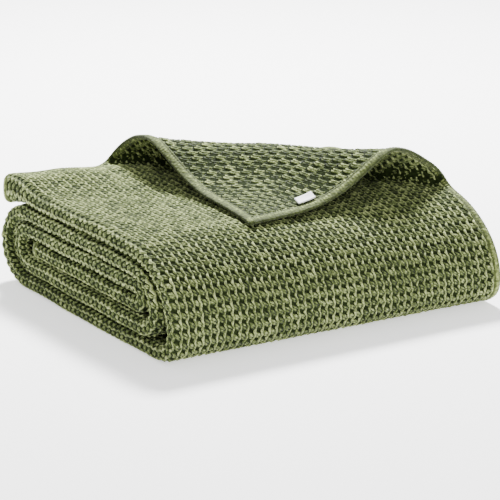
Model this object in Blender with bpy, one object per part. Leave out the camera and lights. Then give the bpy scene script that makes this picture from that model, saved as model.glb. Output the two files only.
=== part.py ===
# A knitted throw blanket, folded in four across its width and wound into a flat stack,
# with the free corner of its outermost ply turned back over the top.
# Metres, +Z up. X runs along the folded length, the front of the stack is at -Y.

import math

import bmesh
import bpy
import numpy as np

# The cloth, laid out flat
SHEET_WIDTH = 1.300
SHEET_LENGTH = 1.600
PLY_THICKNESS = 0.0030
PLY_PITCH = 0.0039

# The folded stack
FOLDED_LENGTH = 0.3265
STRIP_GAP = 0.0009
FOLD_DEPTH = 0.80
FOLD_ROUNDNESS = 2.5
INNER_FOLD_INSET = 0.0014
STRIP_HALF = 1.5 * PLY_PITCH + PLY_THICKNESS / 2
STRIP_PITCH = 2 * STRIP_HALF + STRIP_GAP

# The strip of four plies is wound from the top inwards. Levels count up from the surface.
RUNS = (
    # name, level, y where it starts, y where it ends
    ("top", 5, 0.141, -0.075),
    ("bottom", 0, -0.116, 0.106),
    ("under the top", 4, 0.100, -0.080),
    ("low inner", 1, -0.096, 0.103),
    ("high inner", 3, 0.103, -0.084),
    ("heart", 2, -0.084, 0.103),
)
BENDS = (
    # name, y of its outermost point, height of that point, roundness
    ("front outer", -0.1425, 0.028, 2.2),
    ("back outer", 0.1435, 0.034, 2.0),
    ("front inner", -0.1174, 0.042, 2.1),
    ("back inner", 0.123, 0.039, 2.0),
    ("front heart", -0.0919, 0.04635, 2.0),
)

# How far the folded left end and the open right end of each run stand in from the full length
END_INSETS = (
    # run, left end, right end
    ("top", 0.000, 0.001),
    ("front outer", 0.006, 0.000),
    ("bottom", 0.002, 0.001),
    ("back outer", 0.000, 0.003),
    ("under the top", 0.002, 0.004),
    ("front inner", 0.003, 0.005),
    ("low inner", 0.001, 0.003),
    ("back inner", 0.003, 0.005),
    ("high inner", 0.004, 0.006),
    ("front heart", 0.006, 0.007),
    ("heart", 0.005, 0.008),
)

# The free end of the top run droops over the back, and swells towards its folded left end
DROOP_PROFILE = (
    # y, droop at the right
    (0.100, 0.0000),
    (0.122, 0.0038),
    (0.141, 0.0115),
)
DROOP_ACROSS = (
    # x, share of the droop
    (-0.060, 0.70),
    (0.060, 1.00),
)
SWELL = 0.85
SWELL_RISE = 0.0050
SWELL_ALONG = 0.050
SWELL_ACROSS = 0.160

# The stack sinks towards its front right corner, and a little at its back right corner
SINK = 0.15
BACK_SINK = 0.05
SINK_ACROSS = (
    # x, share of the sink
    (-0.163, 0.00),
    (-0.060, 0.24),
    (0.060, 0.76),
    (0.163, 1.00),
)
SINK_START_Y = -0.045
SINK_SPAN_Y = 0.096
BACK_SINK_START_Y = 0.060
BACK_SINK_SPAN_Y = 0.040

# The turned-back corner, seen along its crest: distance ahead of the line where the ply lifts
# off the top, and height above the top
CREST_PROFILE = (
    # ahead, height
    (0.0000, 0.0000),
    (0.0060, 0.0008),
    (0.0130, 0.0050),
    (0.0110, 0.0150),
    (0.0010, 0.0250),
    (-0.0120, 0.0345),
    (-0.0270, 0.0400),
    (-0.0420, 0.0350),
    (-0.0540, 0.0265),
    (-0.0720, 0.0160),
    (-0.0955, 0.0085),
    (-0.1580, 0.0048),
    (-0.3000, 0.0048),
)
CREST_DIRECTION = (0.7354, -0.6776)
LIFT_DISTANCE = 0.0510
CORNER_STRETCH = 1.25
CREST_SAG = 0.030
CREST_SAG_PLACE = 0.040
CREST_SAG_SPAN = 0.060
CREST_LEFT_SAG = 0.11
CREST_LEFT_SPAN = 0.150
CREST_SAG_START = 0.126
CREST_RISE = 0.17
CREST_RISE_START = 0.085
CREST_RISE_SPAN = 0.060
SKEW = 0.0085
SKEW_START = 0.012
SKEW_SPAN = 0.060
CORNER_REACH = 0.040
BEND_REACH = 0.060
BEND_LENGTHENS = 1.02
HEM_WIDTH = 0.0065
HEM_EXTRA = 0.0008
HEM_SLOPE = 0.002
HEM_SWELLS_OVER = 0.020

# The label, a folded tape that comes out from under the side hem
LABEL_WIDTH = 0.0175
LABEL_LENGTH = 0.0068
LABEL_THICKNESS = 0.0011
LABEL_FROM_CORNER = 0.0548
LABEL_FROM_HEM = 0.0006
LABEL_CLEARANCE = 0.0008
LABEL_TIP_LIFT = 0.0008

# Mesh
PANEL_CUTS = (-0.060, 0.060)
TOP_CUTS = (0.122, 0.100, 0.010)
BEND_STRAY = 0.0009
FOLD_STEP = math.radians(60)
CUTS_START_BEFORE = 0.012
CREST_STEP = math.radians(20)
SAMPLE = 0.00025
DIFFERENCE = 0.0001


def level_height(level):
    return STRIP_HALF + level * STRIP_PITCH


# A quarter of a rounded bend, from the end of a run to the bend's outermost point
def quarter(run_y, run_z, tip_y, tip_z, roundness):
    t = np.linspace(0, math.pi / 2, 200)
    power = 2 / roundness
    y = run_y + (tip_y - run_y) * np.sin(t) ** power
    z = tip_z + (run_z - tip_z) * np.cos(t) ** power
    return np.column_stack([y, z])


class Path:
    # A plane curve read by its length: places, directions and the side that faces out
    def __init__(self, points):
        points = np.asarray(points)
        step = np.linalg.norm(np.diff(points, axis=0), axis=1)
        points = points[np.concatenate([[True], step > 1e-7])]
        step = np.linalg.norm(np.diff(points, axis=0), axis=1)
        raw = np.concatenate([[0], np.cumsum(step)])
        count = int(raw[-1] / SAMPLE) + 1
        self.s = np.linspace(0, raw[-1], count)
        self.p = np.column_stack([np.interp(self.s, raw, points[:, k]) for k in (0, 1)])
        tangent = np.gradient(self.p, self.s, axis=0)
        tangent /= np.linalg.norm(tangent, axis=1)[:, None]
        self.tangent = tangent
        self.length = raw[-1]

    def at(self, s):
        return tuple(np.interp(s, self.s, self.p[:, k]) for k in (0, 1))

    def outward(self, s):
        ty = np.interp(s, self.s, self.tangent[:, 0])
        tz = np.interp(s, self.s, self.tangent[:, 1])
        size = np.hypot(ty, tz)
        return tz / size, -ty / size

    # The length at which the curve comes nearest to a point
    def nearest(self, y, z):
        return float(self.s[np.argmin(np.hypot(self.p[:, 0] - y, self.p[:, 1] - z))])

    # The lengths at which the curve crosses a line
    def crossings(self, value):
        return [float(self.s[i]) for i in np.nonzero(np.diff(np.sign(self.p[:, 0] - value)))[0]]

    # Places to cut so that no piece turns by more than a step
    def turn_cuts(self, step):
        heading = np.unwrap(np.arctan2(self.tangent[:, 1], self.tangent[:, 0]))
        turned = np.concatenate([[0], np.cumsum(np.abs(np.diff(heading)))])
        targets = np.arange(step / 2, turned[-1], step)
        return [float(place) for place in np.interp(targets, turned, self.s)]

    # Places to cut from start to end so that no chord strays too far from the curve
    def arc_cuts(self, start, end, stray):
        s = np.linspace(start, end, 60)
        ty, tz = (np.interp(s, self.s, self.tangent[:, k]) for k in (0, 1))
        turn = np.abs(np.diff(np.unwrap(np.arctan2(tz, ty))))
        grown = np.concatenate([[0], np.cumsum(np.sqrt(turn * np.diff(s) / (8 * stray)))])
        count = math.ceil(grown[-1])
        return [float(place) for place in np.interp(np.linspace(0, grown[-1], count + 1), grown, s)]


def strip_path():
    points = []
    for i, (_, level, start, end) in enumerate(RUNS):
        height = level_height(level)
        points += [(start, height), (end, height)]
        if i < len(BENDS):
            _, tip_y, tip_z, roundness = BENDS[i]
            _, next_level, next_start, _ = RUNS[i + 1]
            points += list(quarter(end, height, tip_y, tip_z, roundness))
            into = quarter(next_start, level_height(next_level), tip_y, tip_z, roundness)
            points += list(into[::-1])
    return Path(points)


# The middle of each run and of each bend, as lengths along the strip
def strip_marks(path):
    marks = {name: path.nearest((start + end) / 2, level_height(level)) for name, level, start, end in RUNS}
    for name, tip_y, tip_z, _ in BENDS:
        marks[name] = path.nearest(tip_y, tip_z)
    return marks


# Half a turn between two plies: round, or flatter at its end
def half_turn(x, w, radius, start, sweep, depth=1.0, roundness=2.0):
    points = []
    for a in np.linspace(start, start + sweep, 80):
        across = abs(math.cos(a)) ** (2 / roundness) * math.copysign(depth, math.cos(a))
        up = abs(math.sin(a)) ** (2 / roundness) * math.copysign(1.0, math.sin(a))
        points.append((x + radius * across, w + radius * up))
    return points


# The four plies seen end on: the outermost ply from its hem, round the left end, back and forth
def plies_path():
    left = -FOLDED_LENGTH / 2 + PLY_THICKNESS / 2 + 1.5 * PLY_PITCH * FOLD_DEPTH
    right = FOLDED_LENGTH / 2 - PLY_PITCH / 2 - PLY_THICKNESS / 2
    points = [(FOLDED_LENGTH / 2, 1.5 * PLY_PITCH)]
    points += half_turn(left, 0, 1.5 * PLY_PITCH, math.pi / 2, math.pi, FOLD_DEPTH, FOLD_ROUNDNESS)
    points += half_turn(right, -PLY_PITCH, PLY_PITCH / 2, -math.pi / 2, math.pi)
    points += half_turn(left + INNER_FOLD_INSET, 0, PLY_PITCH / 2, -math.pi / 2, -math.pi)
    points += [(FOLDED_LENGTH, PLY_PITCH / 2)]
    return Path(points)


STRIP = strip_path()
PLIES = plies_path()
MARKS = strip_marks(STRIP)
OUTER_PLY_LENGTH = FOLDED_LENGTH - STRIP_HALF
_, TOP_LEVEL, TOP_BACK_Y, TOP_FRONT_Y = RUNS[0]
TOP_RUN_LENGTH = TOP_BACK_Y - TOP_FRONT_Y


def rounded(points, rounds):
    points = np.asarray(points)
    for _ in range(rounds):
        near = points[:-1] * 0.75 + points[1:] * 0.25
        far = points[:-1] * 0.25 + points[1:] * 0.75
        middle_part = np.stack([near, far], axis=1).reshape(-1, 2)
        points = np.concatenate([points[:1], middle_part, points[-1:]])
    return points


# The corner of the outermost ply laid flat, and the axes along and across the crest
CREST = Path(rounded(CREST_PROFILE, 4))
CORNER = np.array([FOLDED_LENGTH / 2, TOP_BACK_Y])
ALONG = np.array(CREST_DIRECTION)
ACROSS = np.array([-ALONG[1], ALONG[0]])


def smooth(t):
    t = np.clip(t, 0, 1)
    return t * t * (3 - 2 * t)


# The second column of a table, at places between the rows of its first
def read_table(rows, place):
    first, second = zip(*rows)
    return np.interp(place, first, second)


# How much the top run is swollen at its free end, and how far it droops there
def loosened(x, y, v):
    near_end = np.exp(-((v / SWELL_ALONG) ** 2))
    near_left = np.exp(-(((x + FOLDED_LENGTH / 2) / SWELL_ACROSS) ** 2))
    droop = read_table(DROOP_PROFILE, y) * read_table(DROOP_ACROSS, x) * (v < TOP_RUN_LENGTH / 2)
    return near_end * near_left, droop


# How far a point of the flat ply lies past the line where it lifts, and where along that line
def past_lift(u, v):
    flat = np.stack([CORNER[0] - u, CORNER[1] - v], axis=-1)
    return flat @ ACROSS - LIFT_DISTANCE, flat @ ALONG


# Carries the points of the top ply past the lifting line up, over the crest and back down
def turn_corner(u, v, place):
    past, along = past_lift(u, v)
    turned = (past > 0) & (u < OUTER_PLY_LENGTH) & (v < TOP_RUN_LENGTH + CORNER_REACH)
    if not turned.any():
        return place
    past, along = past[turned], along[turned]
    ahead, height = CREST.at(past * CORNER_STRETCH)
    ahead = ahead - SKEW * smooth((along - SKEW_START) / SKEW_SPAN) * smooth(past / 0.03)
    sag = CREST_SAG * np.exp(-(((along - CREST_SAG_PLACE) / CREST_SAG_SPAN) ** 2))
    sag = sag + CREST_LEFT_SAG * np.clip((CREST_SAG_START - along) / CREST_LEFT_SPAN, 0, 1)
    sag = sag - CREST_RISE * smooth((along - CREST_RISE_START) / CREST_RISE_SPAN)
    plan = ALONG * along[:, None] + ACROSS * (LIFT_DISTANCE + ahead)[:, None]
    height = height * (1 - sag)
    swell, droop = loosened(plan[:, 0], plan[:, 1], TOP_BACK_Y - plan[:, 1])
    top = 1.5 * PLY_PITCH * (1 + SWELL * swell) + SWELL_RISE * swell - droop
    over_bend = np.clip(TOP_FRONT_Y - plan[:, 1], 0, BEND_REACH)
    top = top + STRIP.at(TOP_RUN_LENGTH + over_bend * BEND_LENGTHENS)[1]
    out = place.copy()
    out[turned] = np.column_stack([plan, top + height])
    return out


def end_inset(v):
    marks = sorted((MARKS[name], left, right) for name, left, right in END_INSETS)
    s = [m[0] for m in marks]
    left = np.interp(v, s, [m[1] for m in marks])
    right = np.interp(v, s, [m[2] for m in marks])
    return left, right


# The whole stack gives a little at its right corners, but not on its base
def settle(place):
    x, y, z = place.T
    forward = np.clip((SINK_START_Y - y) / SINK_SPAN_Y, 0, None)
    backward = np.clip((y - BACK_SINK_START_Y) / BACK_SINK_SPAN_Y, 0, 1)
    sink = (SINK * forward + BACK_SINK * backward) * read_table(SINK_ACROSS, x)
    return np.column_stack([x, y, z - (z - PLY_THICKNESS / 2) * sink])


# The middle of the cloth: u runs in from the visible side hem, v from the visible end hem
def middle(u, v):
    x, w = PLIES.at(u)
    left, right = end_inset(v)
    share = x / FOLDED_LENGTH
    x = x + left * np.clip(0.5 - share, 0, 1) ** 3 - right * np.clip(0.5 + share, 0, 1) ** 3
    y, z = STRIP.at(v)
    oy, oz = STRIP.outward(v)
    swell, droop = loosened(x, y, v)
    w = w * (1 + SWELL * swell)
    place = np.column_stack([x, y + w * oy, z + w * oz - droop + SWELL_RISE * swell])
    return settle(turn_corner(u, v, place))


def cloth_normal(u, v):
    d = DIFFERENCE
    du = middle(u + d, v) - middle(u - d, v)
    dv = middle(u, v + d) - middle(u, v - d)
    normal = np.cross(du, dv)
    return normal / np.linalg.norm(normal, axis=1)[:, None]


# Half the thickness on the reverse, which the turned-back hems raise
def reverse_half(u, v):
    past, _ = past_lift(u, v)
    edge = np.minimum(u, v)
    turned = smooth(past / HEM_SWELLS_OVER) * (u < OUTER_PLY_LENGTH)
    return PLY_THICKNESS / 2 + HEM_EXTRA * smooth((HEM_WIDTH - edge) / HEM_SLOPE) * turned


def make_material(name, colour, roughness):
    material = bpy.data.materials.new(name)
    material.use_nodes = True
    shader = material.node_tree.nodes["Principled BSDF"]
    shader.inputs["Base Color"].default_value = (*colour, 1.0)
    shader.inputs["Roughness"].default_value = roughness
    shader.inputs["Metallic"].default_value = 0.0
    return material


def add_object(name, mesh, material):
    mesh.materials.append(material)
    mesh.shade_smooth()
    mesh.set_sharp_from_angle(angle=math.radians(50))
    thing = bpy.data.objects.new(name, mesh)
    bpy.context.scene.collection.objects.link(thing)
    return thing


def cut(bm, faces, point, normal):
    edges = {edge for face in faces for edge in face.edges}
    verts = {vert for face in faces for vert in face.verts}
    geometry = list(faces) + list(edges) + list(verts)
    bmesh.ops.bisect_plane(bm, geom=geometry, dist=1e-6, plane_co=point, plane_no=normal)


# Places along the strip where it is cut: at the bends, where the stack sinks and along the top
def strip_cuts():
    places = STRIP.crossings(SINK_START_Y) + STRIP.crossings(BACK_SINK_START_Y)
    for before, after in zip(RUNS, RUNS[1:]):
        _, level, _, end = before
        _, next_level, start, _ = after
        bend_start = STRIP.nearest(end, level_height(level))
        bend_end = STRIP.nearest(start, level_height(next_level))
        places += STRIP.arc_cuts(bend_start, bend_end, BEND_STRAY)
    return places + [TOP_BACK_Y - y for y in TOP_CUTS]


def on_top(centre, before):
    past, _ = past_lift(centre.x, centre.y)
    return past > -before and centre.x < OUTER_PLY_LENGTH and centre.y < TOP_RUN_LENGTH + CORNER_REACH


# Extra cuts where the corner turns: along the two hems and parallel to the crest
def cut_corner(bm):
    def corner_faces():
        return [face for face in bm.faces if on_top(face.calc_center_median(), CUTS_START_BEFORE)]

    for distance in (HEM_WIDTH, HEM_WIDTH - HEM_SLOPE):
        cut(bm, corner_faces(), (distance, 0, 0), (1, 0, 0))
        cut(bm, corner_faces(), (0, distance, 0), (0, 1, 0))
    normal = (ACROSS[0], ACROSS[1], 0)
    for s in [0.0] + CREST.turn_cuts(CREST_STEP):
        distance = CORNER @ ACROSS - LIFT_DISTANCE - s / CORNER_STRETCH
        cut(bm, corner_faces(), (distance * ACROSS[0], distance * ACROSS[1], 0), normal)


# Splits each rectangle the same way in every ply and run, so that neighbours stay parallel
def split_rectangles(bm):
    for face in [face for face in bm.faces if len(face.verts) == 4]:
        centre = face.calc_center_median()
        x_ahead = np.interp(centre.x, PLIES.s, PLIES.tangent[:, 0]) > 0
        y_ahead = np.interp(centre.y, STRIP.s, STRIP.tangent[:, 0]) > 0
        sign = 1 if x_ahead == y_ahead else -1
        low = [vert for vert in face.verts if vert.co.x < centre.x]
        high = [vert for vert in face.verts if vert.co.x > centre.x]
        if len(low) == 2 and len(high) == 2:
            start = min(low, key=lambda vert: sign * vert.co.y)
            end = max(high, key=lambda vert: sign * vert.co.y)
            if not any(end in edge.verts for edge in start.link_edges):
                bmesh.utils.face_split(face, start, end)


# The cloth as a flat sheet, cut along the lines where it bends
def flat_sheet():
    bm = bmesh.new()
    bmesh.ops.create_grid(bm, x_segments=1, y_segments=1, size=0.5)
    for vert in bm.verts:
        vert.co.x = (vert.co.x + 0.5) * SHEET_WIDTH
        vert.co.y = (vert.co.y + 0.5) * SHEET_LENGTH
    panel_places = PLIES.turn_cuts(FOLD_STEP)
    for x in PANEL_CUTS:
        panel_places += PLIES.crossings(x)
    for u in sorted(panel_places):
        if u < SHEET_WIDTH:
            cut(bm, bm.faces[:], (u, 0, 0), (1, 0, 0))
    for v in sorted(strip_cuts()):
        if v < SHEET_LENGTH:
            cut(bm, bm.faces[:], (0, v, 0), (0, 1, 0))
    cut_corner(bm)
    split_rectangles(bm)
    bmesh.ops.triangulate(bm, faces=bm.faces[:])
    return bm


def face_outwards(bm):
    bmesh.ops.recalc_face_normals(bm, faces=bm.faces[:])
    if bm.calc_volume(signed=True) < 0:
        bmesh.ops.reverse_faces(bm, faces=bm.faces[:])


def make_blanket():
    bm = flat_sheet()
    sheet = bm.faces[:]
    bmesh.ops.recalc_face_normals(bm, faces=sheet)
    lower = bm.verts[:]
    u = np.array([vert.co.x for vert in lower])
    v = np.array([vert.co.y for vert in lower])
    centre = middle(u, v)
    normal = cloth_normal(np.clip(u, DIFFERENCE, None), np.clip(v, DIFFERENCE, None))
    face_side = centre + normal * (PLY_THICKNESS / 2)
    reverse_side = centre - normal * reverse_half(u, v)[:, None]
    lower_index = {vert: i for i, vert in enumerate(lower)}
    by_flat = {(round(vert.co.x, 6), round(vert.co.y, 6)): i for vert, i in lower_index.items()}
    made = bmesh.ops.extrude_face_region(bm, geom=sheet, use_keep_orig=True)
    upper = [item for item in made["geom"] if isinstance(item, bmesh.types.BMVert)]
    upper_index = {vert: by_flat[(round(vert.co.x, 6), round(vert.co.y, 6))] for vert in upper}
    for vert, i in upper_index.items():
        vert.co = face_side[i]
    for vert, i in lower_index.items():
        vert.co = reverse_side[i]
    face_outwards(bm)
    mesh = bpy.data.meshes.new("blanket")
    bm.to_mesh(mesh)
    bm.free()
    cloth = make_material("knitted cotton", (0.235, 0.290, 0.125), 0.95)
    return add_object("blanket", mesh, cloth)


# A small folded tape that lies on the turned-back corner, its root beside the side hem
def make_label():
    bm = bmesh.new()
    bmesh.ops.create_grid(bm, x_segments=4, y_segments=5, size=0.5)
    for vert in bm.verts:
        vert.co.x = HEM_WIDTH + LABEL_FROM_HEM + (vert.co.x + 0.5) * LABEL_LENGTH
        vert.co.y = LABEL_FROM_CORNER + (vert.co.y + 0.5) * LABEL_WIDTH
    lower = bm.verts[:]
    u = np.array([vert.co.x for vert in lower])
    v = np.array([vert.co.y for vert in lower])
    centre = middle(u, v)
    normal = cloth_normal(u, v)
    away = (u - u.min()) / LABEL_LENGTH
    base = PLY_THICKNESS / 2 + LABEL_CLEARANCE + LABEL_TIP_LIFT * away ** 2
    under = centre - normal * base[:, None]
    over = centre - normal * (base + LABEL_THICKNESS)[:, None]
    index = {(round(vert.co.x, 6), round(vert.co.y, 6)): i for i, vert in enumerate(lower)}
    made = bmesh.ops.extrude_face_region(bm, geom=bm.faces[:], use_keep_orig=True)
    upper = [item for item in made["geom"] if isinstance(item, bmesh.types.BMVert)]
    for vert in upper:
        vert.co.z = 1.0
    for vert in bm.verts:
        i = index[(round(vert.co.x, 6), round(vert.co.y, 6))]
        vert.co = over[i] if vert.co.z > 0.5 else under[i]
    face_outwards(bm)
    mesh = bpy.data.meshes.new("label")
    bm.to_mesh(mesh)
    bm.free()
    tape = make_material("white tape", (0.86, 0.86, 0.86), 0.6)
    return add_object("label", mesh, tape)


# Stands the stack on z = 0 with the origin under the middle of its box
def centre_on_base(things):
    corners = np.array([vert.co[:] for thing in things for vert in thing.data.vertices])
    low, high = corners.min(axis=0), corners.max(axis=0)
    shift = np.array([-(low[0] + high[0]) / 2, -(low[1] + high[1]) / 2, -low[2]])
    for thing in things:
        for vert in thing.data.vertices:
            vert.co = np.array(vert.co[:]) + shift
    print("box", np.round((high - low) * 1000, 2), "shift", np.round(shift * 1000, 3))


def main():
    for thing in list(bpy.data.objects):
        bpy.data.objects.remove(thing, do_unlink=True)
    things = [make_blanket(), make_label()]
    centre_on_base(things)
    for thing in things:
        print(thing.name, len(thing.data.polygons), "faces")
    print("strip length", round(STRIP.length, 4), "plies length", round(PLIES.length, 4))


main()
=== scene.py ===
import math

import bmesh
import bpy
import numpy as np
from mathutils import Matrix, Vector


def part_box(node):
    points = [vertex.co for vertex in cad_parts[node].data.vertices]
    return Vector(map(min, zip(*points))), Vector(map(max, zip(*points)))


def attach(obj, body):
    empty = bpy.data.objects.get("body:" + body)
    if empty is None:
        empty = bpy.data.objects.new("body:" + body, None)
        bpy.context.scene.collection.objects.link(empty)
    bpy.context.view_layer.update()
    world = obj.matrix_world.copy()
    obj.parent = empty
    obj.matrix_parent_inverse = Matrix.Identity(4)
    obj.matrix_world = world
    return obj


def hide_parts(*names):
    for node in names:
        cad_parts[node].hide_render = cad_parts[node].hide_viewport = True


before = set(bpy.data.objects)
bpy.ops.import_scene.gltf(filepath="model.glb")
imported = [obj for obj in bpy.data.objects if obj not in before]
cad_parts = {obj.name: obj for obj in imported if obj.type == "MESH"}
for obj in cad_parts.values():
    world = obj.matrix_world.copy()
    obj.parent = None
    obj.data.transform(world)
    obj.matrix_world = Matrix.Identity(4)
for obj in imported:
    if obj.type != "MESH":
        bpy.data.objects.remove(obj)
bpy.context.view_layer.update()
print("frame loaded")

# The cloth and its fold, in metres, as the solid has them
cloth = {"width": 1.300, "length": 1.600, "thick": 0.0030, "pitch": 0.0039}
stack = {"length": 0.3265, "gap": 0.0009, "foldDepth": 0.80, "foldRoundness": 2.5, "innerInset": 0.0014}
stripHalf = 1.5 * cloth["pitch"] + cloth["thick"] / 2
stripPitch = 2 * stripHalf + stack["gap"]
stackHeight = 2 * stripHalf + 5 * stripPitch
runs = (  # name, level, y where it starts, y where it ends
    ("top", 5, 0.141, -0.075),
    ("bottom", 0, -0.116, 0.106),
    ("under the top", 4, 0.100, -0.080),
    ("low inner", 1, -0.096, 0.103),
    ("high inner", 3, 0.103, -0.084),
    ("heart", 2, -0.084, 0.103),
)
bends = (  # name, y of its outermost point, height of that point, roundness
    ("front outer", -0.1425, 0.028, 2.2),
    ("back outer", 0.1435, 0.034, 2.0),
    ("front inner", -0.1174, 0.042, 2.1),
    ("back inner", 0.123, 0.039, 2.0),
    ("front heart", -0.0919, 0.04635, 2.0),
)
endInsets = (  # run, left end, right end
    ("top", 0.000, 0.001),
    ("front outer", 0.006, 0.000),
    ("bottom", 0.002, 0.001),
    ("back outer", 0.000, 0.003),
    ("under the top", 0.002, 0.004),
    ("front inner", 0.003, 0.005),
    ("low inner", 0.001, 0.003),
    ("back inner", 0.003, 0.005),
    ("high inner", 0.004, 0.006),
    ("front heart", 0.006, 0.007),
    ("heart", 0.005, 0.008),
)
loose = {
    "droop": 0.0115, "droopY": 0.098, "droopPower": 1.7, "droopLeft": 0.7, "droopX": -0.08, "droopSpan": 0.16,
    "swell": 0.85, "rise": 0.0050, "along": 0.050, "across": 0.160,
}
sinking = {
    "front": 0.15, "frontY": -0.045, "frontSpan": 0.096, "soft": 0.0025,
    "back": 0.05, "backY": 0.060, "backSpan": 0.040,
}
rolling = {"height": 0.0012, "waveX": 0.210, "waveY": 0.170, "phase": 0.6, "fromZ": 0.020}
wrinkles = {  # along the far edge
    "height": 0.0008, "wave": 0.055, "phase": 1.0, "fromY": 0.050, "fromZ": 0.060, "span": 0.05,
}
crest = {
    "profile": (  # distance ahead of the lifting line, height
        (0.0000, 0.0000), (0.0060, 0.0008), (0.0130, 0.0050), (0.0110, 0.0150), (0.0010, 0.0250),
        (-0.0120, 0.0345), (-0.0270, 0.0400), (-0.0420, 0.0350), (-0.0540, 0.0265), (-0.0720, 0.0160),
        (-0.0955, 0.0085), (-0.1580, 0.0048), (-0.3000, 0.0048),
    ),
    "direction": (0.7354, -0.6776), "lift": 0.0510, "stretch": 1.25,
    "sag": 0.030, "sagPlace": 0.040, "sagSpan": 0.060, "leftSag": 0.11, "sagStart": 0.126, "leftSpan": 0.150,
    "rise": 0.17, "riseStart": 0.085, "riseSpan": 0.060,
    "skew": 0.0085, "skewStart": 0.012, "skewSpan": 0.060, "skewPast": 0.03,
    "reach": 0.04, "overhang": 0.06, "overhangStretch": 1.02,
}
hem = {
    "width": 0.0065, "ribbed": 0.270, "rib": 0.0028, "relief": 0.0006, "half": 0.0016,
    "roundAt": 0.0006, "round": 0.0014, "foot": 0.0006, "footShare": 0.6,
    "profile": (  # inward from the edge, share of the half thickness
        (0.0018, 1.20), (0.0032, 1.40), (0.0046, 1.30), (0.0054, 0.75), (0.0060, 1.05),
    ),
}
label = {
    "width": 0.0175, "length": 0.0068, "thick": 0.0011, "fromCorner": 0.0548, "fromHem": 0.0006,
    "clear": 0.0008, "lift": 0.0008,
}


def levelHeight(level):
    return stripHalf + level * stripPitch


def smooth(t):
    t = np.clip(t, 0, 1)
    return t * t * (3 - 2 * t)


def quarter(runY, runZ, tipY, tipZ, roundness):
    t = np.linspace(0, math.pi / 2, 200)
    power = 2 / roundness
    y = runY + (tipY - runY) * np.sin(t) ** power
    return np.column_stack([y, tipZ + (runZ - tipZ) * np.cos(t) ** power])


class Path:  # a plane curve read by its length
    def __init__(self, points, sample=0.00025):
        points = np.asarray(points)
        step = np.linalg.norm(np.diff(points, axis=0), axis=1)
        points = points[np.concatenate([[True], step > 1e-7])]
        raw = np.concatenate([[0], np.cumsum(np.linalg.norm(np.diff(points, axis=0), axis=1))])
        self.s = np.linspace(0, raw[-1], int(raw[-1] / sample) + 1)
        self.p = np.column_stack([np.interp(self.s, raw, points[:, k]) for k in (0, 1)])
        tangent = np.gradient(self.p, self.s, axis=0)
        self.tangent = tangent / np.linalg.norm(tangent, axis=1)[:, None]
        self.length = raw[-1]

    def at(self, s):
        return tuple(np.interp(s, self.s, self.p[:, k]) for k in (0, 1))

    def outward(self, s):
        ty, tz = (np.interp(s, self.s, self.tangent[:, k]) for k in (0, 1))
        size = np.hypot(ty, tz)
        return tz / size, -ty / size

    def lines(self, turn, span):  # places no further apart than a turn of the curve or a length
        heading = np.unwrap(np.arctan2(self.tangent[:, 1], self.tangent[:, 0]))
        turned = np.concatenate([[0], np.cumsum(np.abs(np.diff(heading)))])
        measure = turned / turn + self.s / span
        count = int(measure[-1]) + 1
        return np.interp(np.linspace(0, measure[-1], count + 1), measure, self.s)


def stripPath():
    points = []
    for i, (name, level, start, end) in enumerate(runs):
        height = levelHeight(level)
        points += [(start, height), (end, height)]
        if i < len(bends):
            tipY, tipZ, roundness = bends[i][1:]
            nextLevel, nextStart = runs[i + 1][1:3]
            points += list(quarter(end, height, tipY, tipZ, roundness))
            points += list(quarter(nextStart, levelHeight(nextLevel), tipY, tipZ, roundness)[::-1])
    return Path(points)


def stripMarks(path):
    marks = {}
    for name, level, start, end in runs:
        near = np.abs(path.p[:, 1] - levelHeight(level)) < 0.0004
        near &= np.abs(path.p[:, 0] - (start + end) / 2) < 0.002
        marks[name] = float(path.s[near].mean())
    for name, tipY, tipZ, roundness in bends:
        marks[name] = float(path.s[np.argmin(np.hypot(path.p[:, 0] - tipY, path.p[:, 1] - tipZ))])
    return marks


def halfTurn(x, w, radius, start, sweep, depth=1.0, roundness=2.0):
    points = []
    for a in np.linspace(start, start + sweep, 80):
        sideways = abs(math.cos(a)) ** (2 / roundness) * math.copysign(depth, math.cos(a))
        up = abs(math.sin(a)) ** (2 / roundness) * math.copysign(1.0, math.sin(a))
        points.append((x + radius * sideways, w + radius * up))
    return points


def pliesPath():
    pitch = cloth["pitch"]
    left = -stack["length"] / 2 + cloth["thick"] / 2 + 1.5 * pitch * stack["foldDepth"]
    right = stack["length"] / 2 - pitch / 2 - cloth["thick"] / 2
    points = [(stack["length"] / 2, 1.5 * pitch)]
    points += halfTurn(left, 0, 1.5 * pitch, math.pi / 2, math.pi, stack["foldDepth"], stack["foldRoundness"])
    points += halfTurn(right, -pitch, pitch / 2, -math.pi / 2, math.pi)
    points += halfTurn(left + stack["innerInset"], 0, pitch / 2, -math.pi / 2, -math.pi)
    return Path(points + [(stack["length"], pitch / 2)])


def rounded(points, rounds):
    points = np.asarray(points)
    for _ in range(rounds):
        near = points[:-1] * 0.75 + points[1:] * 0.25
        far = points[:-1] * 0.25 + points[1:] * 0.75
        points = np.concatenate([points[:1], np.stack([near, far], axis=1).reshape(-1, 2), points[-1:]])
    return points


strip = stripPath()
plies = pliesPath()
marks = stripMarks(strip)
crestPath = Path(rounded(crest["profile"], 4))
topPly = stack["length"] - stripHalf
corner = np.array([stack["length"] / 2, runs[0][2]])
along = np.array(crest["direction"])
across = np.array([-along[1], along[0]])
topEnd = corner[1] - runs[0][3]
probe = {"normal": 0.0002, "along": 0.0005}  # steps for a slope of the folded cloth


def loosened(x, y, v):
    near = np.exp(-((v / loose["along"]) ** 2))
    near = near * np.exp(-(((x + stack["length"] / 2) / loose["across"]) ** 2))
    droop = np.clip((y - loose["droopY"]) / (corner[1] - loose["droopY"]), 0, 1) ** loose["droopPower"]
    right = smooth((x - loose["droopX"]) / loose["droopSpan"])
    droop = loose["droop"] * droop * (loose["droopLeft"] + (1 - loose["droopLeft"]) * right)
    return near, droop * (v < topEnd / 2)


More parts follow.
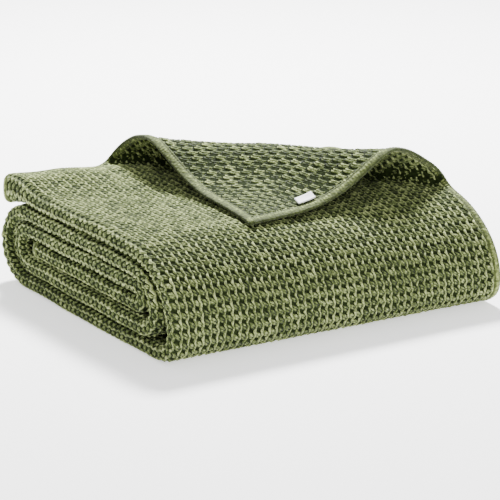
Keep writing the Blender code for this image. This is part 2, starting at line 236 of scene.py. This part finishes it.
def pastLift(u, v):
    flat = np.stack([corner[0] - u, corner[1] - v], axis=-1)
    return flat @ across - crest["lift"], flat @ along


def turnCorner(u, v, place):
    past, side = pastLift(u, v)
    turned = (past > 0) & (u < topPly) & (v < topEnd + crest["reach"])
    if not turned.any():
        return place
    past, side = past[turned], side[turned]
    ahead, height = crestPath.at(past * crest["stretch"])
    skew = smooth((side - crest["skewStart"]) / crest["skewSpan"]) * smooth(past / crest["skewPast"])
    ahead = ahead - crest["skew"] * skew
    sag = crest["sag"] * np.exp(-(((side - crest["sagPlace"]) / crest["sagSpan"]) ** 2))
    sag = sag + crest["leftSag"] * np.clip((crest["sagStart"] - side) / crest["leftSpan"], 0, 1)
    sag = sag - crest["rise"] * smooth((side - crest["riseStart"]) / crest["riseSpan"])
    plan = along * side[:, None] + across * (crest["lift"] + ahead)[:, None]
    swell, droop = loosened(plan[:, 0], plan[:, 1], corner[1] - plan[:, 1])
    top = levelHeight(5) + 1.5 * cloth["pitch"] * (1 + loose["swell"] * swell) + loose["rise"] * swell - droop
    beyond = np.clip(runs[0][3] - plan[:, 1], 0, crest["overhang"])
    rest = strip.at(topEnd + beyond * crest["overhangStretch"])[1] - levelHeight(5)
    out = place.copy()
    out[turned] = np.column_stack([plan, top + rest + height * (1 - sag)])
    return out


def endInset(v):
    rows = sorted((marks[name], left, right) for name, left, right in endInsets)
    s, left, right = zip(*rows)
    return np.interp(v, s, left), np.interp(v, s, right)


def settle(place):
    x, y, z = place.T
    forward = (sinking["frontY"] - y) / sinking["frontSpan"]
    forward = (forward + np.sqrt(forward ** 2 + sinking["soft"])) / 2
    backward = smooth((y - sinking["backY"]) / sinking["backSpan"])
    sink = (sinking["front"] * forward + sinking["back"] * backward) * smooth(x / stack["length"] + 0.5)
    alongX = np.sin(x / rolling["waveX"] * 2 * math.pi + rolling["phase"])
    alongY = np.cos(y / rolling["waveY"] * 2 * math.pi)
    roll = rolling["height"] * alongX * alongY * smooth((z - rolling["fromZ"]) / stackHeight)
    wrinkle = np.sin(x / wrinkles["wave"] * 2 * math.pi + wrinkles["phase"])
    wrinkle = wrinkle * smooth((y - wrinkles["fromY"]) / wrinkles["span"])
    roll = roll + wrinkles["height"] * wrinkle * smooth((z - wrinkles["fromZ"]) / wrinkles["span"])
    return np.column_stack([x, y, z - (z - cloth["thick"] / 2) * sink + roll])


def middle(u, v):
    x, w = plies.at(u)
    left, right = endInset(v)
    share = x / stack["length"]
    x = x + left * np.clip(0.5 - share, 0, 1) ** 3 - right * np.clip(0.5 + share, 0, 1) ** 3
    y, z = strip.at(v)
    oy, oz = strip.outward(v)
    swell, droop = loosened(x, y, v)
    w = w * (1 + loose["swell"] * swell)
    place = np.column_stack([x, y + w * oy, z + w * oz - droop + loose["rise"] * swell])
    return settle(turnCorner(u, v, place))


def clothNormal(u, v):
    d = probe["normal"]
    u = np.clip(u, d, cloth["width"] - d)
    v = np.clip(v, d, cloth["length"] - d)
    normal = np.cross(middle(u + d, v) - middle(u - d, v), middle(u, v + d) - middle(u, v - d))
    return normal / np.linalg.norm(normal, axis=1)[:, None]


def originShift():
    u, v = np.meshgrid(plies.lines(0.25, 0.01), strip.lines(0.15, 0.01), indexing="ij")
    keep = (u <= cloth["width"]) & (v <= cloth["length"])
    u, v = u[keep], v[keep]
    mid = middle(u, v)
    off = clothNormal(u, v) * cloth["thick"] / 2
    both = np.concatenate([mid + off, mid - off])
    low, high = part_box("blanket")
    shift = (np.array(low) + np.array(high) - both.min(axis=0) - both.max(axis=0)) / 2
    shift[2] = low[2] - both[:, 2].min()
    return shift


shift = originShift()
print("shift", np.round(shift * 1000, 3))


# Places a point of the flat cloth, at a height over its middle, in the folded stack
def foldPoints(flat):
    u, v, h = flat.T
    inU = np.clip(u, 0, cloth["width"])
    inV = np.clip(v, 0, cloth["length"])
    mid = middle(inU, inV)
    normal = clothNormal(inU, inV)
    over = np.zeros_like(mid)
    outU = (u - inU)[:, None]
    outV = (v - inV)[:, None]
    if np.any(outU):
        d = probe["along"]
        inside = np.clip(inU, d, cloth["width"] - d)
        alongU = middle(inside + d, inV) - middle(inside - d, inV)
        over += alongU / np.linalg.norm(alongU, axis=1)[:, None] * outU
    if np.any(outV):
        d = probe["along"]
        inside = np.clip(inV, d, cloth["length"] - d)
        alongV = middle(inU, inside + d) - middle(inU, inside - d)
        over += alongV / np.linalg.norm(alongV, axis=1)[:, None] * outV
    place = mid + over + normal * h[:, None] + shift
    place[:, 2] = np.maximum(place[:, 2], 0.0)
    return place


def foldMesh(thing, shade):
    mesh = thing.data
    flat = np.empty(len(mesh.vertices) * 3)
    mesh.vertices.foreach_get("co", flat)
    flat = flat.reshape(-1, 3)
    shadeAndTone = mesh.attributes.new("shadeAndTone", "FLOAT", "POINT")
    shadeAndTone.data.foreach_set("value", shade(flat).astype(np.float32))
    mesh.vertices.foreach_set("co", foldPoints(flat).astype(np.float32).ravel())
    mesh.update()


# Materials
def newMaterial(name, roughness):
    material = bpy.data.materials.new(name)
    material.use_nodes = True
    tree = material.node_tree
    shader = tree.nodes["Principled BSDF"]
    shader.inputs["Roughness"].default_value = roughness
    return material, tree, shader


def node(tree, kind, inputs=None, **props):
    made = tree.nodes.new(kind)
    for key, value in props.items():
        setattr(made, key, value)
    for key, value in (inputs or {}).items():
        if isinstance(value, bpy.types.NodeSocket):
            tree.links.new(value, made.inputs[key])
        else:
            made.inputs[key].default_value = value
    return made


def times(tree, value, factor, plus=None):
    if plus is None:
        return node(tree, "ShaderNodeMath", {0: value, 1: factor}, operation="MULTIPLY").outputs[0]
    return node(tree, "ShaderNodeMath", {0: value, 1: factor, 2: plus}, operation="MULTIPLY_ADD").outputs[0]


def noise(tree, place, scale, detail, roughness=0.5):
    inputs = {"Vector": place, "Scale": scale, "Detail": detail, "Roughness": roughness}
    return node(tree, "ShaderNodeTexNoise", inputs).outputs["Fac"]


def relief(tree, strength, distance, height, under=None, invert=False):
    inputs = {"Strength": strength, "Distance": distance, "Height": height}
    if under is not None:
        inputs["Normal"] = under
    return node(tree, "ShaderNodeBump", inputs, invert=invert).outputs["Normal"]


def colourRamp(tree, fac, stops):
    ramp = node(tree, "ShaderNodeValToRGB", {"Fac": fac})
    while len(ramp.color_ramp.elements) < len(stops):
        ramp.color_ramp.elements.new(0.5)
    for element, (place, colour) in zip(ramp.color_ramp.elements, stops):
        element.position = place
        element.color = (*colour, 1.0)
    return ramp.outputs["Color"]


def yarnMaterial():
    material, tree, shader = newMaterial("sage yarn", 0.88)
    place = node(tree, "ShaderNodeTexCoord").outputs["Object"]
    shadeAndTone = node(tree, "ShaderNodeAttribute", attribute_name="shadeAndTone").outputs["Fac"]
    fibre = noise(tree, place, 900.0, 4.0, 0.7)
    mottle = noise(tree, place, 520.0, 3.0, 0.7)
    broad = noise(tree, place, 22.0, 2.0)
    mix = times(tree, mottle, 0.55)
    mix = times(tree, fibre, 0.30, mix)
    mix = times(tree, broad, 0.07, mix)
    mix = times(tree, mix, 2.0, -0.42)  # more contrast
    # painted shade: the colour is darkened by the knit's depth, and by the random cell tone, from the attribute
    mix = times(tree, mix, shadeAndTone)
    colour = colourRamp(tree, mix, (
        (0.08, (0.004, 0.007, 0.001)),
        (0.24, (0.028, 0.042, 0.007)),
        (0.42, (0.120, 0.156, 0.042)),
        (0.62, (0.400, 0.455, 0.185)),
    ))
    tree.links.new(colour, shader.inputs["Base Color"])
    bump = relief(tree, 0.9, 0.0009, mottle)
    tree.links.new(relief(tree, 0.35, 0.0003, fibre, under=bump), shader.inputs["Normal"])
    shader.inputs["Sheen Weight"].default_value = 0.10
    shader.inputs["Sheen Roughness"].default_value = 0.5
    shader.inputs["Specular IOR Level"].default_value = 0.25
    return material


def holeShadeMaterial():
    # near-black: painted shade in the holes, where the knit goes deep
    material, tree, shader = newMaterial("painted shade behind the holes", 0.95)
    place = node(tree, "ShaderNodeTexCoord").outputs["Object"]
    mottle = noise(tree, place, 500.0, 3.0)
    colour = colourRamp(tree, mottle, ((0.3, (0.004, 0.007, 0.001)), (0.75, (0.022, 0.034, 0.008))))
    tree.links.new(colour, shader.inputs["Base Color"])
    tree.links.new(relief(tree, 0.6, 0.0008, mottle), shader.inputs["Normal"])
    shader.inputs["Specular IOR Level"].default_value = 0.1
    return material


yarn = yarnMaterial()
holeShade = holeShadeMaterial()


def addPiece(name, mesh, material):
    mesh.materials.clear()
    mesh.materials.append(material)
    mesh.shade_smooth()
    thing = bpy.data.objects.new(name, mesh)
    bpy.context.scene.collection.objects.link(thing)
    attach(thing, "root")
    return thing


# The sheet behind the yarn: the whole cloth in one thin near-black piece, painted shade seen through the holes
# of the knit
def gridMesh(name, us, vs, h0, h1):
    bm = bmesh.new()
    bmesh.ops.create_grid(bm, x_segments=len(us) - 1, y_segments=len(vs) - 1, size=1.0)
    for vert in bm.verts:
        i = round((vert.co.x + 1) / 2 * (len(us) - 1))
        j = round((vert.co.y + 1) / 2 * (len(vs) - 1))
        vert.co = (us[i], vs[j], h1)
    top = bm.faces[:]
    made = bmesh.ops.extrude_face_region(bm, geom=top, use_keep_orig=True)
    for item in made["geom"]:
        if isinstance(item, bmesh.types.BMVert):
            item.co.z = h0
    bmesh.ops.recalc_face_normals(bm, faces=bm.faces[:])
    mesh = bpy.data.meshes.new(name)
    bm.to_mesh(mesh)
    bm.free()
    return mesh


sheetHalf = 0.0003
sheetGrid = {  # largest turn and length of a step, and a finer grid over the top
    "turnU": 0.55, "spanU": 0.016, "turnV": 0.20, "spanV": 0.015, "fineU": 0.300, "fineV": 0.216, "fine": 0.008,
}


def makeSheet():
    us = plies.lines(sheetGrid["turnU"], sheetGrid["spanU"])
    fine = np.arange(0, sheetGrid["fineU"], sheetGrid["fine"])
    us = np.concatenate([us[us < cloth["width"]], [cloth["width"]], fine])
    vs = strip.lines(sheetGrid["turnV"], sheetGrid["spanV"])
    fine = np.arange(0, sheetGrid["fineV"], sheetGrid["fine"])
    vs = np.concatenate([vs[vs < cloth["length"]], [cloth["length"]], fine])
    us, vs = np.unique(np.round(us, 4)), np.unique(np.round(vs, 4))
    mesh = gridMesh("sheet", us, vs, -sheetHalf, sheetHalf)
    thing = addPiece("sheet", mesh, holeShade)
    foldMesh(thing, lambda flat: np.full(len(flat), 0.5))
    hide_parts("blanket")
    print("sheet", len(mesh.polygons), "faces")


makeSheet()

# The knit: a raised wavy column down each cell and two lower bars that slant to the next column
knit = {
    "across": 0.00705, "down": 0.0074, "columnRadius": 0.00125, "barRadius": 0.00110,
    "bars": ((0.82, 0.28, 0.0001), (1.10, 0.56, -0.0001)),  # share of the cell at both ends, height
}
stray = {"across": 0.0011, "down": 0.0012, "height": 0.0009}  # of one cell
drift = {"slow": 0.0007, "quick": 0.0005, "margin": 0.001}  # of whole rows
# painted shade: least, more and full make the yarn darker the nearer it lies to the cloth's middle; cellLeast
# and cellMore give each cell a random tone
shading = {"least": 0.20, "more": 0.88, "full": 0.0016, "cellLeast": 0.86, "cellMore": 0.28}


def tube(bm, points, radii, sides):
    points = [Vector(p) for p in points]
    rings = []
    for i, point in enumerate(points):
        ahead = (points[min(i + 1, len(points) - 1)] - points[max(i - 1, 0)]).normalized()
        turn = ahead.to_track_quat("Z", "Y").to_matrix().to_4x4()
        made = bmesh.ops.create_circle(
            bm, cap_ends=i in (0, len(points) - 1), segments=sides, radius=radii[i],
            matrix=Matrix.Translation(point) @ turn)
        rings.append(made["verts"])
    for a, b in zip(rings, rings[1:]):
        edges = list({e for v in a for e in v.link_edges if e.other_vert(v) in a})
        edges += list({e for v in b for e in v.link_edges if e.other_vert(v) in b})
        bmesh.ops.bridge_loops(bm, edges=edges)


def knitTile(sides):
    p, q = knit["across"], knit["down"]
    bm = bmesh.new()
    r = knit["columnRadius"]
    column = [  # across, down, height
        (0, -0.0002, 0.0005), (0.0009, q * 0.25, 0.0008), (0.0001, q * 0.5, 0.0005),
        (-0.0008, q * 0.75, 0.0002), (0, q + 0.0002, 0.0005),
    ]
    tube(bm, column, [r * 0.95, r * 1.1, r * 0.85, r, r * 0.95], sides)
    r = knit["barRadius"]
    for leaves, meets, height in knit["bars"]:
        bar = [
            (0.0003, q * leaves, height - 0.0004), (p * 0.5, q * (leaves + meets) / 2, height + 0.0003),
            (p - 0.0003, q * meets, height - 0.0004),
        ]
        tube(bm, bar, [r * 0.85, r * 1.1, r * 0.85], sides)
    bmesh.ops.recalc_face_normals(bm, faces=bm.faces[:])
    mesh = bpy.data.meshes.new("tile")
    bm.to_mesh(mesh)
    bm.free()
    return mesh


fineTile = knitTile(5)
plainTile = knitTile(4)
print("tiles", len(fineTile.polygons), len(plainTile.polygons), "faces")


def tileArrays(tile):
    co = np.empty(len(tile.vertices) * 3)
    tile.vertices.foreach_get("co", co)
    loops = np.empty(len(tile.loops), dtype=np.int32)
    tile.loops.foreach_get("vertex_index", loops)
    counts = np.empty(len(tile.polygons), dtype=np.int32)
    tile.polygons.foreach_get("loop_total", counts)
    return co.reshape(-1, 3), loops, counts


def knitPiece(name, cells, tile=plainTile):
    co, loops, counts = tileArrays(tile)
    n = len(cells)
    cells = np.asarray(cells, dtype=float)
    rng = np.random.default_rng(len(name) * 7 + n)
    flat = np.repeat(co[None], n, axis=0)
    midway = np.sin(np.pi * np.clip(co[:, 1] / knit["down"], 0, 1))
    inside = midway * np.sin(np.pi * np.clip(co[:, 0] / knit["across"], 0, 1))
    flat[:, :, 0] += stray["across"] * (rng.random((n, 1)) - 0.5) * midway
    flat[:, :, 1] += stray["down"] * (rng.random((n, 1)) - 0.5) * inside
    flat[:, :, 2] += stray["height"] * (rng.random((n, 1)) - 0.5) * midway
    flat[:, :, 0] += (cells[:, 0] * knit["across"])[:, None]
    flat[:, :, 1] += (cells[:, 1] * knit["down"])[:, None]
    flat = flat.reshape(-1, 3)
    height = flat[:, 2].copy()
    u, v = flat[:, 0].copy(), flat[:, 1].copy()
    slow, quick, margin = drift["slow"], drift["quick"], drift["margin"]
    flat[:, 0] += slow * np.sin(v / 0.037 + 2 * np.sin(u / 0.09)) + quick * np.sin(v / 0.013 + u / 0.02)
    flat[:, 1] += slow * np.sin(u / 0.031 + 2 * np.sin(v / 0.11)) + quick * np.sin(u / 0.011 - v / 0.023)
    flat[:, 0] = np.clip(flat[:, 0], margin, cloth["width"] - margin)
    flat[:, 1] = np.clip(flat[:, 1], margin, cloth["length"] - margin)
    # painted shade: darker the deeper the yarn lies in the knit, times a random tone per cell
    shadeAndTone = shading["least"] + shading["more"] * smooth(np.abs(height) / shading["full"])
    shadeAndTone *= np.repeat(shading["cellLeast"] + shading["cellMore"] * rng.random(n), len(co))
    mesh = bpy.data.meshes.new(name)
    mesh.vertices.add(len(flat))
    mesh.vertices.foreach_set("co", flat.astype(np.float32).ravel())
    allLoops = (loops[None] + (np.arange(n) * len(co))[:, None]).ravel().astype(np.int32)
    allCounts = np.tile(counts, n)
    mesh.loops.add(len(allLoops))
    mesh.loops.foreach_set("vertex_index", allLoops)
    mesh.polygons.add(len(allCounts))
    starts = np.concatenate([[0], np.cumsum(allCounts)[:-1]]).astype(np.int32)
    mesh.polygons.foreach_set("loop_start", starts)
    mesh.update(calc_edges=True)
    thing = addPiece(name, mesh, yarn)
    foldMesh(thing, lambda _: shadeAndTone)
    triangles = int((allCounts - 2).sum())
    print(name, n, "cells", triangles, "triangles")


def cellsIn(u0, u1, v0, v1, keep=None):
    iu = np.arange(math.floor(u0 / knit["across"]), math.ceil(u1 / knit["across"]))
    iv = np.arange(math.floor(v0 / knit["down"]), math.ceil(v1 / knit["down"]))
    gu, gv = np.meshgrid(iu, iv, indexing="ij")
    cells = np.column_stack([gu.ravel(), gv.ravel()])
    if keep is not None:
        cells = cells[keep((cells[:, 0] + 0.5) * knit["across"], (cells[:, 1] + 0.5) * knit["down"])]
    return cells


zones = {  # limits of the pieces of knit, along the strip or across the cloth
    "margin": 0.006, "end": 0.004, "topEnd": 0.222, "frontEnd": 0.400, "baseEnd": 0.560, "beforeBack": 0.060,
    "left": 0.310, "lobe": 0.022, "fold": 0.014, "edge": 0.026, "innerHem": 0.008, "plyEdge": 0.024,
    "behindCrest": 0.055,
}
margin, end, edge, innerHem = (zones[key] for key in ("margin", "end", "edge", "innerHem"))
topZone, frontZone, baseZone = (zones[key] for key in ("topEnd", "frontEnd", "baseEnd"))
lobeEnd = stack["length"] + zones["lobe"]
backEnd = marks["under the top"] - zones["beforeBack"]
width, length = cloth["width"], cloth["length"]
rightFold = plies.s[np.argmax(np.where(plies.s > 0.5, np.where(plies.s < 0.8, plies.p[:, 0], -1), -1))]
print("right fold", rightFold, "back end", backEnd)
knitPiece("knit_top", cellsIn(margin, lobeEnd, margin, topZone), fineTile)
knitPiece("knit_front", cellsIn(margin, lobeEnd, topZone, frontZone), fineTile)
knitPiece("knit_base", cellsIn(margin, lobeEnd, frontZone, baseZone))
knitPiece("knit_back", cellsIn(margin, lobeEnd, baseZone, backEnd))
knitPiece("knit_left", cellsIn(zones["left"], lobeEnd, backEnd, length - end), fineTile)
knitPiece("knit_right", cellsIn(rightFold - zones["fold"], rightFold + zones["fold"], end, length - end))
knitPiece("knit_edge", cellsIn(margin, edge, backEnd, length - end))
knitPiece("knit_inner_edge", cellsIn(width - edge, width - innerHem, end, length - end))


def behindCrest(u, v):
    x, w = plies.at(u)
    return (x * across[0] + (corner[1] - v) * across[1]) > crest["lift"] - zones["behindCrest"]


innerTurn = float(plies.s[np.argmin(np.where(plies.s > 0.8, plies.p[:, 0], 1))])
secondPly = cellsIn(innerTurn + end, width - zones["plyEdge"], end, topZone, behindCrest)
knitPiece("knit_second_ply", secondPly)


# The hems: a dense band round each side of the cloth, ribbed where it shows
def hemPiece(name, side):
    sideways = side in ("side", "far side")
    path, length, width = strip, cloth["length"], cloth["width"]
    if not sideways:
        path, length, width = plies, cloth["width"], cloth["length"]
    lines = path.lines(0.35, 0.0060)
    ribbed = np.arange(0, hem["ribbed"], hem["rib"] / 2) if side in ("side", "end") else np.zeros(1)
    lines = np.concatenate([ribbed, lines[(lines > ribbed[-1] + 0.001) & (lines < length - 0.001)], [length]])
    half, inner = hem["half"], hem["width"] + hem["foot"]
    section = []
    for a in np.linspace(0, math.pi, 7):
        section.append((hem["roundAt"] - hem["round"] * math.sin(a), half * math.cos(a)))
    section += [(w, -h * half) for w, h in hem["profile"]]
    section += [(inner, -half * hem["footShare"]), (inner, half * hem["footShare"])]
    section += [(w, h * half) for w, h in hem["profile"][::-1]]
    bm = bmesh.new()
    verts = [bm.verts.new((w, lines[0], h)) for w, h in section]
    edges = [bm.edges.new((verts[i], verts[(i + 1) % len(verts)])) for i in range(len(verts))]
    ring = edges
    ribHeight = 1 + hem["relief"] / half
    for k, at in enumerate(lines[1:]):
        made = bmesh.ops.extrude_edge_only(bm, edges=ring)
        ring = [item for item in made["geom"] if isinstance(item, bmesh.types.BMEdge)]
        swollen = (ribHeight if k % 2 else 1 / ribHeight) if at < ribbed[-1] + 0.001 else 1
        for item in made["geom"]:
            if isinstance(item, bmesh.types.BMVert):
                item.co.y = at
                item.co.z *= swollen
    bmesh.ops.holes_fill(bm, edges=bm.edges[:], sides=0)
    bmesh.ops.triangulate(bm, faces=[f for f in bm.faces if len(f.verts) > 4])
    if side == "side":
        flip = lambda w, s: (w, s)
    elif side == "far side":
        flip = lambda w, s: (width - w, s)
    elif side == "end":
        flip = lambda w, s: (s, w)
    else:
        flip = lambda w, s: (s, width - w)
    for vert in bm.verts:
        vert.co.x, vert.co.y = flip(vert.co.x, vert.co.y)
    bmesh.ops.recalc_face_normals(bm, faces=bm.faces[:])
    mesh = bpy.data.meshes.new(name)
    bm.to_mesh(mesh)
    bm.free()
    thing = addPiece(name, mesh, hemYarn)
    # painted shade: the hem darker towards its middle, away from both faces
    foldMesh(thing, lambda flat: 0.35 + 0.65 * smooth((np.abs(flat[:, 2]) - 0.0010) / 0.0016))
    print(name, len(mesh.polygons), "faces")


def hemMaterial():
    material, tree, shader = newMaterial("hem yarn", 0.9)
    place = node(tree, "ShaderNodeTexCoord").outputs["Object"]
    shadeAndTone = node(tree, "ShaderNodeAttribute", attribute_name="shadeAndTone").outputs["Fac"]
    cells = node(tree, "ShaderNodeTexVoronoi", {"Vector": place, "Scale": 420.0}).outputs["Distance"]
    mottle = noise(tree, place, 300.0, 3.0, 0.6)
    # painted shade: darker towards the edges of the Voronoi cells, where the bump dips
    mix = times(tree, cells, -0.30, 0.80)
    mix = times(tree, mix, mottle)
    # painted shade from the hem's depth darkens the colour
    mix = times(tree, mix, shadeAndTone)
    colour = colourRamp(tree, mix, (
        (0.05, (0.010, 0.015, 0.003)),
        (0.22, (0.085, 0.110, 0.026)),
        (0.34, (0.255, 0.305, 0.098)),
        (0.48, (0.440, 0.490, 0.200)),
    ))
    tree.links.new(colour, shader.inputs["Base Color"])
    bump = relief(tree, 0.8, 0.0008, cells, invert=True)
    tree.links.new(relief(tree, 0.4, 0.0004, mottle, under=bump), shader.inputs["Normal"])
    shader.inputs["Sheen Weight"].default_value = 0.10
    shader.inputs["Specular IOR Level"].default_value = 0.25
    return material


hemYarn = hemMaterial()
hemPiece("hem_side", "side")
hemPiece("hem_far_side", "far side")
hemPiece("hem_end", "end")
hemPiece("hem_far_end", "far end")


# The label: a plain folded tape on the turned-back corner
def makeLabel():
    material, tree, shader = newMaterial("white tape", 0.6)
    place = node(tree, "ShaderNodeTexCoord").outputs["Object"]
    weave = noise(tree, place, 1500.0, 2.0)
    colour = colourRamp(tree, weave, ((0.3, (0.78, 0.78, 0.77)), (0.7, (0.92, 0.92, 0.91))))
    tree.links.new(colour, shader.inputs["Base Color"])
    us = hem["width"] + label["fromHem"] + np.linspace(0, label["length"], 12)
    vs = label["fromCorner"] + np.linspace(0, label["width"], 14)
    base = cloth["thick"] / 2 + label["clear"]
    mesh = gridMesh("label_tape", us, vs, -base - label["thick"], -base)
    away = lambda flat: (flat[:, 0] - us[0]) / label["length"]
    thing = addPiece("label_tape", mesh, material)
    flat = np.empty(len(mesh.vertices) * 3)
    mesh.vertices.foreach_get("co", flat)
    flat = flat.reshape(-1, 3)
    flat[:, 2] -= label["lift"] * away(flat) ** 2
    mesh.vertices.foreach_set("co", foldPoints(flat).astype(np.float32).ravel())
    mesh.update()
    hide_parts("label")


makeLabel()
print("label made")


# Floor, light and camera
def makeStage():
    bm = bmesh.new()
    bmesh.ops.create_grid(bm, x_segments=1, y_segments=1, size=6.0)
    mesh = bpy.data.meshes.new("floor")
    bm.to_mesh(mesh)
    bm.free()
    floor = bpy.data.objects.new("floor", mesh)
    bpy.context.scene.collection.objects.link(floor)
    material, tree, shader = newMaterial("pale floor", 0.9)
    shader.inputs["Base Color"].default_value = (0.94, 0.94, 0.94, 1.0)
    shader.inputs["Emission Color"].default_value = (1.0, 1.0, 1.0, 1.0)
    shader.inputs["Emission Strength"].default_value = 1.00
    mesh.materials.append(material)
    world = bpy.data.worlds.new("studio")
    world.use_nodes = True
    world.node_tree.nodes["Background"].inputs["Color"].default_value = (1.0, 1.0, 1.0, 1.0)
    world.node_tree.nodes["Background"].inputs["Strength"].default_value = 0.80
    bpy.context.scene.world = world


def addLight(name, place, target, size, power):
    data = bpy.data.lights.new(name, "AREA")
    data.shape = "SQUARE"
    data.size = size
    data.energy = power
    thing = bpy.data.objects.new(name, data)
    thing.location = place
    thing.rotation_euler = (Vector(target) - Vector(place)).to_track_quat("-Z", "Y").to_euler()
    bpy.context.scene.collection.objects.link(thing)


view = {
    "azimuth": -31.16, "elevation": 16.98, "distance": 2.340, "target": (0.0059, 0.0029, 0.0363),
    "focal": 2690.0, "picture": 500.0, "sensor": 36.0,  # the first two in pixels
}


def makeCamera():
    azimuth, elevation = math.radians(view["azimuth"]), math.radians(view["elevation"])
    level = math.cos(elevation)
    away = Vector((math.sin(azimuth) * level, -math.cos(azimuth) * level, math.sin(elevation)))
    target = Vector(view["target"])
    data = bpy.data.cameras.new("camera")
    data.sensor_width = view["sensor"]
    data.lens = view["focal"] / view["picture"] * view["sensor"]
    data.clip_end = 50.0
    thing = bpy.data.objects.new("camera", data)
    thing.location = target + away * view["distance"]
    thing.rotation_euler = (-away).to_track_quat("-Z", "Y").to_euler()
    bpy.context.scene.collection.objects.link(thing)
    bpy.context.scene.camera = thing


makeStage()
addLight("key", (0.50, 0.90, 1.35), (0, 0, 0.05), 0.35, 140.0)
addLight("fill", (-0.4, -1.8, 1.2), (0, 0, 0.05), 1.2, 14.0)
makeCamera()
print("stage made")
